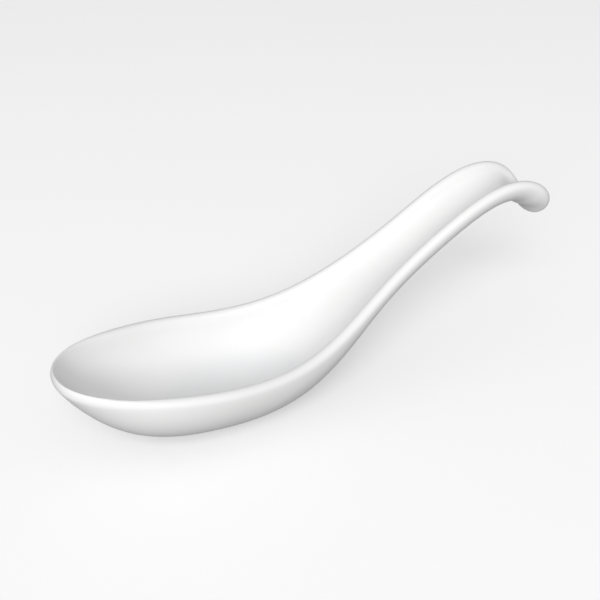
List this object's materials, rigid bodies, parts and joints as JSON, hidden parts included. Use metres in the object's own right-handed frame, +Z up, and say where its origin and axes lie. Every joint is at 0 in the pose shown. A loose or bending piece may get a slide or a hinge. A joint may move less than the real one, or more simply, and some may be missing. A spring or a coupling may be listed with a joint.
{
  "type": "chinese soup spoon",
  "caption": "Deep oval soup spoon of white glazed porcelain with a flat foot and a trough-shaped handle that rises and curls over into a hook.",
  "frame": {"origin": "middle of the flat foot, on the table that the spoon rests on", "axes": "+X from the bowl to the handle, +Z up out of the bowl, and the XZ plane is the plane of symmetry"},
  "size_m": [0.1399, 0.0436, 0.0482],
  "materials": {
    "bare_porcelain": "matt unglazed fired porcelain",
    "white_glaze": "glossy white glaze"
  },
  "bodies": {
    "root": {"porcelain_body": "bare_porcelain", "glaze": "white_glaze"}
  },
  "joints": []
}
